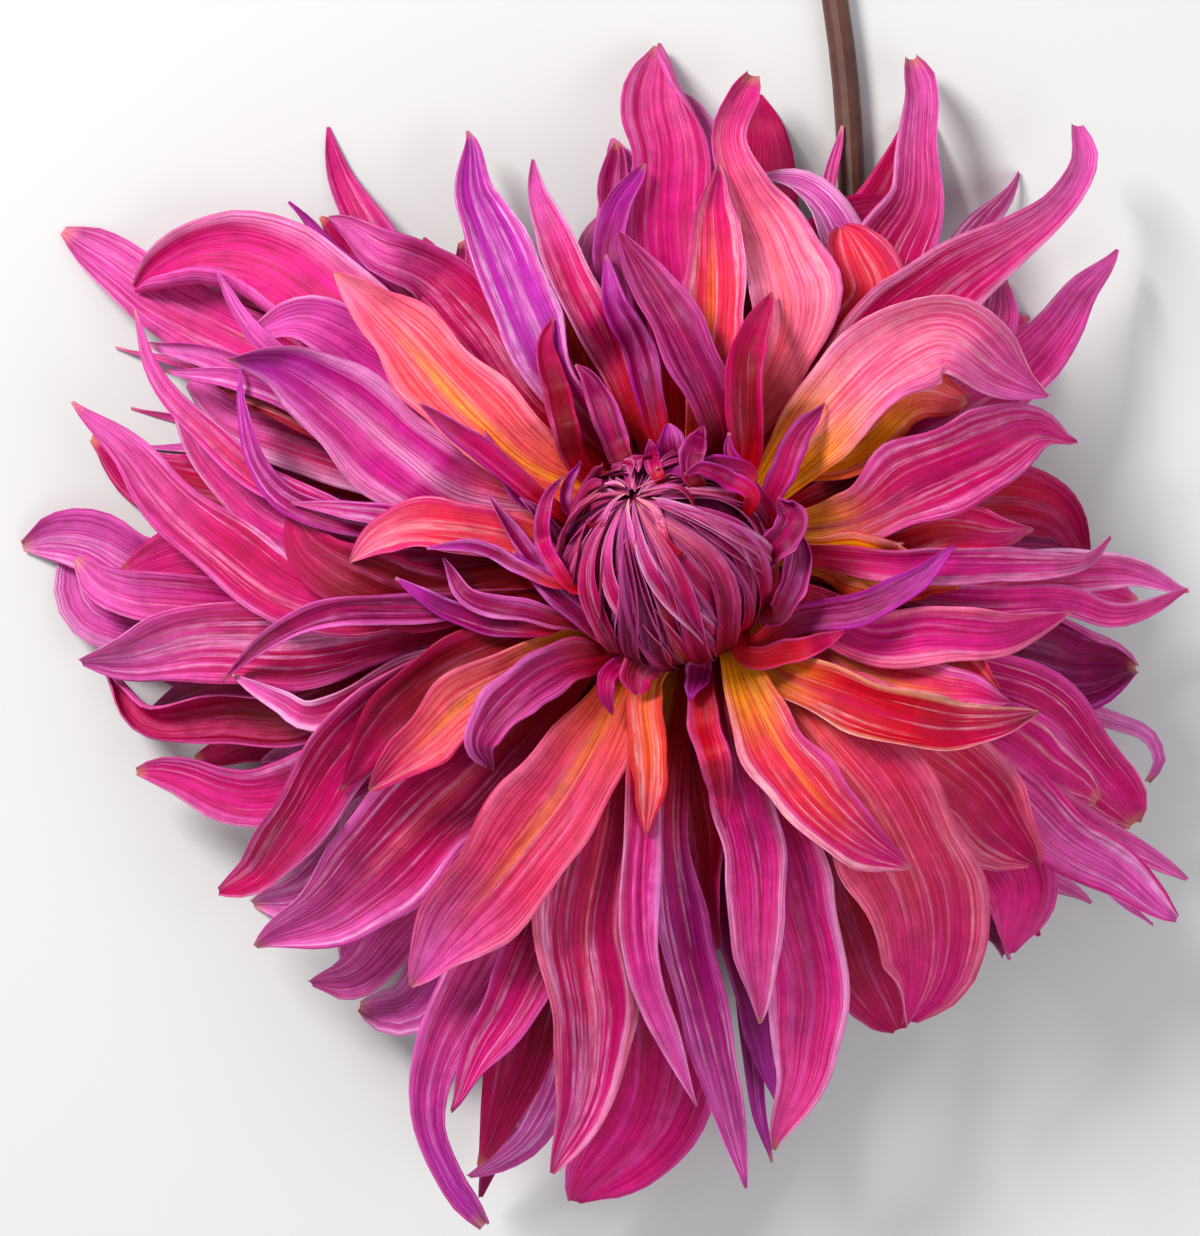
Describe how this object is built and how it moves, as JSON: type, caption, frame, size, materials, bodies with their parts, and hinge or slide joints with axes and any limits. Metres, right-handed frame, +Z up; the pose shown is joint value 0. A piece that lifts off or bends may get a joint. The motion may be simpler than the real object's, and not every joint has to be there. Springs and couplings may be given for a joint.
{
  "type": "cut dahlia flower",
  "caption": "Large curly decorative dahlia bloom in magenta, purple and salmon, lying face up on its outer petals with its bare cut stem beside it.",
  "frame": {"origin": "middle of the bounding box, at the surface the flower rests on", "axes": "+Z up, out of the open face of the bloom; +Y along the stem, away from the bloom; +X to the right in the picture"},
  "size_m": [0.2328, 0.3188, 0.0761],
  "materials": {
    "floret_magenta": "soft satin petal with fine lengthwise veins",
    "floret_purple": "soft satin petal with fine lengthwise veins",
    "floret_crimson": "soft satin petal with fine lengthwise veins",
    "floret_salmon": "soft satin petal with fine lengthwise veins",
    "floret_yellow_base": "soft satin petal with fine lengthwise veins",
    "floret_lilac": "soft satin petal with fine lengthwise veins",
    "bud": "satin, tightly wrapped young petals",
    "stem": "satin green-brown stalk",
    "receptacle": "matte fleshy pad",
    "bracts": "matte thin leaf"
  },
  "bodies": {
    "root": {"back_florets_east": "floret_purple", "back_florets_north": "floret_purple", "back_florets_south": "floret_purple", "back_florets_west": "floret_purple", "centre_bud": "bud", "cut_stem": "stem", "inner_florets_east": "floret_purple", "inner_florets_north": "floret_purple", "inner_florets_south": "floret_crimson", "inner_florets_west": "floret_purple", "involucral_bracts": "bracts", "mid_florets_east": "floret_salmon", "mid_florets_north": "floret_purple", "mid_florets_south": "floret_crimson", "mid_florets_west": "floret_magenta", "outer_florets_east": "floret_lilac", "outer_florets_north": "floret_purple", "outer_florets_south": "floret_crimson", "outer_florets_west": "floret_lilac", "ray_floret_01": "floret_magenta", "ray_floret_02": "floret_magenta", "ray_floret_03": "floret_yellow_base", "ray_floret_04": "floret_lilac", "ray_floret_05": "floret_magenta", "ray_floret_06": "floret_magenta", "ray_floret_07": "floret_yellow_base", "ray_floret_08": "floret_lilac", "ray_floret_09": "floret_magenta", "ray_floret_10": "floret_magenta", "ray_floret_11": "floret_magenta", "ray_floret_12": "floret_yellow_base", "ray_floret_13": "floret_magenta", "ray_floret_14": "floret_crimson", "ray_floret_15": "floret_magenta", "ray_floret_16": "floret_magenta", "ray_floret_17": "floret_purple", "ray_floret_18": "floret_yellow_base", "ray_floret_19": "floret_lilac", "ray_floret_20": "floret_salmon", "ray_floret_21": "floret_salmon", "ray_floret_22": "floret_yellow_base", "ray_floret_23": "floret_purple", "ray_floret_24": "floret_purple", "ray_floret_25": "floret_lilac", "ray_floret_26": "floret_purple", "ray_floret_27": "floret_magenta", "ray_floret_28": "floret_purple", "ray_floret_29": "floret_lilac", "ray_floret_30": "floret_magenta", "ray_floret_31": "floret_magenta", "ray_floret_32": "floret_yellow_base", "ray_floret_33": "floret_magenta", "ray_floret_34": "floret_magenta", "ray_floret_35": "floret_crimson", "ray_floret_36": "floret_magenta", "ray_floret_37": "floret_lilac", "ray_floret_38": "floret_magenta", "ray_floret_39": "floret_purple", "ray_floret_40": "floret_crimson", "receptacle": "receptacle"}
  },
  "joints": []
}
